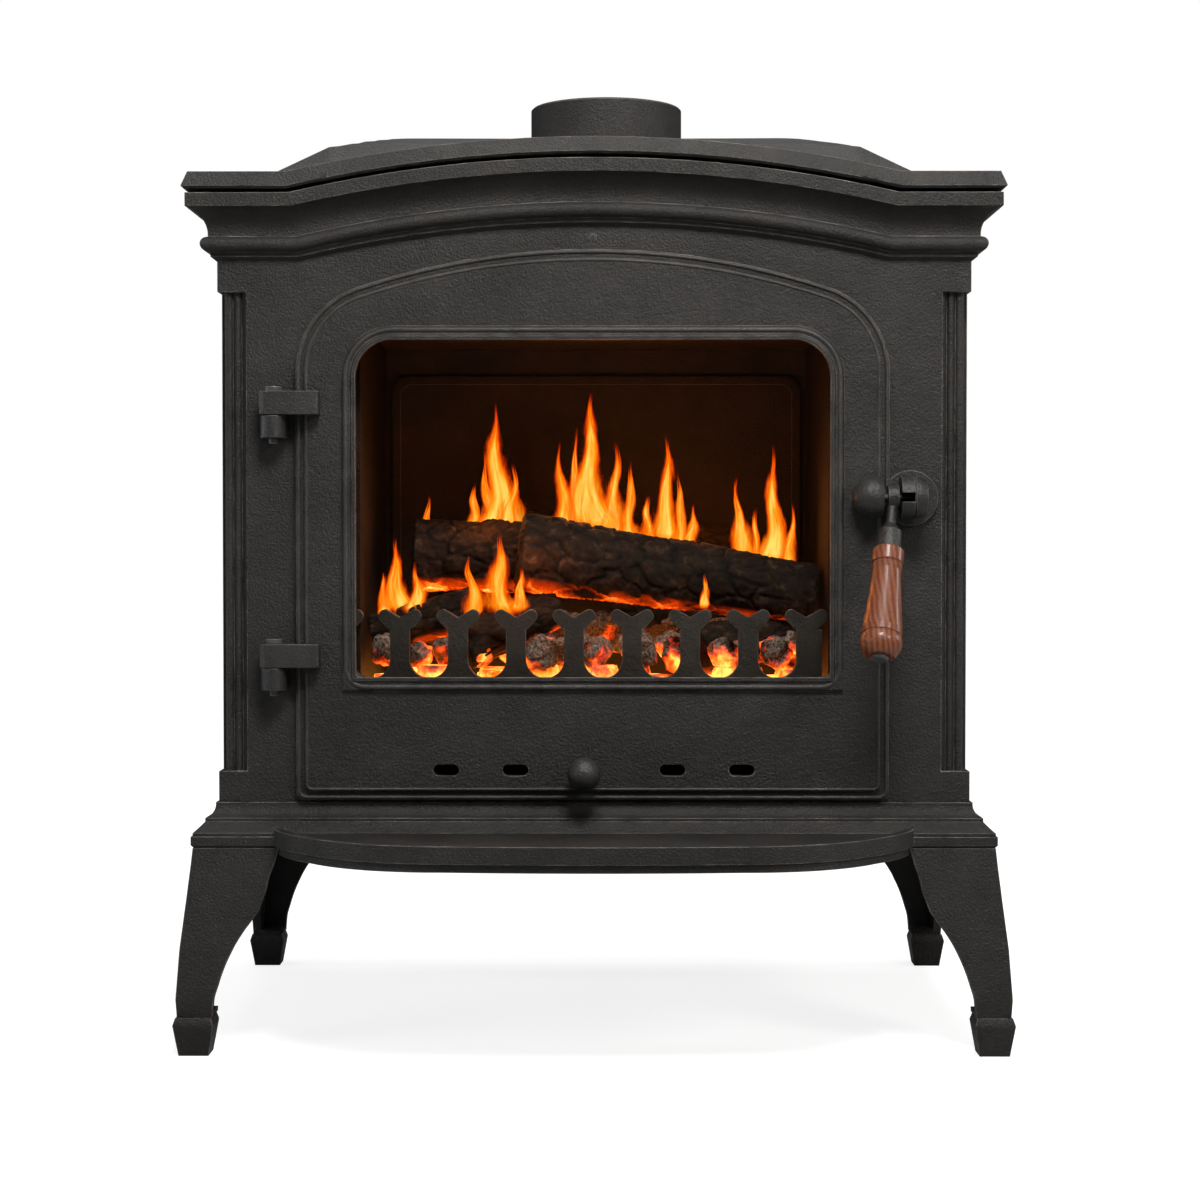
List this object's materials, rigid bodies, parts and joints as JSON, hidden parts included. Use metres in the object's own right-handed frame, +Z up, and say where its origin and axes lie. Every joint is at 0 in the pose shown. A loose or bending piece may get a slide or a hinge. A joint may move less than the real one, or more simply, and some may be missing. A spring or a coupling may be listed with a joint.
{
  "type": "cast iron stove",
  "caption": "Free-standing cast iron wood stove with arched moulded top, glazed hinged door, ash lip, splayed legs, wooden latch handle, log fence and burning logs.",
  "frame": {"origin": "on the floor, under the middle of the whole stove's box", "axes": "+X to the right of someone facing the door, +Y from the door to the back, +Z up"},
  "size_m": [0.728, 0.5919, 0.871],
  "materials": {
    "iron": "matte heat-resistant black paint on sand-cast iron",
    "sooty_iron": "sooty raw casting",
    "steel": "blackened steel",
    "firebrick": "smoke-darkened firebrick",
    "glass": "clear ceramic glass",
    "rope": "woven glass-fibre seal",
    "grip_wood": "varnished red-brown hardwood",
    "charred_wood": "charred bark",
    "embers": "glowing coals"
  },
  "bodies": {
    "root": {"top_plate": "iron", "flue_collar": "iron", "flue_screws": "steel", "cornice": "iron", "front_panel": "iron", "side_panel_left": "iron", "side_panel_right": "iron", "back_panel": "iron", "plinth": "iron", "hearth_plate": "iron", "leg_front_left": "iron", "leg_front_right": "iron", "leg_back_left": "iron", "leg_back_right": "iron", "leg_bolts": "steel", "tie_rods": "steel", "liner_left": "firebrick", "liner_right": "firebrick", "fireback": "sooty_iron", "baffle_plate": "sooty_iron", "grate": "sooty_iron", "grate_ledges": "steel", "log_fence": "sooty_iron", "ash_pan": "steel", "ash_rails": "sooty_iron", "ember_bed": "embers", "hinge_knuckle_upper": "iron", "hinge_knuckle_lower": "iron", "hinge_pins": "steel", "latch_keeper": "iron", "log_low_left": "charred_wood", "log_low_middle": "charred_wood", "log_low_right": "charred_wood", "log_low_back": "charred_wood", "log_low_rear": "charred_wood", "log_back_left": "charred_wood", "log_rear": "charred_wood", "log_front": "charred_wood"},
    "door": {"door_casting": "iron", "latch_boss": "iron", "door_glass": "glass", "glass_gasket": "rope", "glass_clips": "steel", "clip_screws": "steel", "door_rope": "rope", "slide_guides": "steel", "hinge_strap_upper": "iron", "hinge_strap_lower": "iron"},
    "handle": {"handle_lever": "iron", "handle_grip": "grip_wood", "handle_end_nut": "steel"},
    "damper": {"air_slide": "steel", "air_knob": "iron"}
  },
  "joints": [
    {"name": "door_hinge", "type": "hinge", "parent": "root", "child": "door", "pos_m": [-0.278, -0.1605, 0.45], "axis": [0, 0, -1], "range_deg": [0, 110]},
    {"name": "handle_pivot", "type": "hinge", "parent": "door", "child": "handle", "pos_m": [0.2581, -0.17, 0.483], "axis": [-1, 0, 0], "range_deg": [0, 75]},
    {"name": "air_slide_travel", "type": "slide", "parent": "door", "child": "damper", "axis": [1, 0, 0], "range_m": [-0.009, 0.009]}
  ]
}
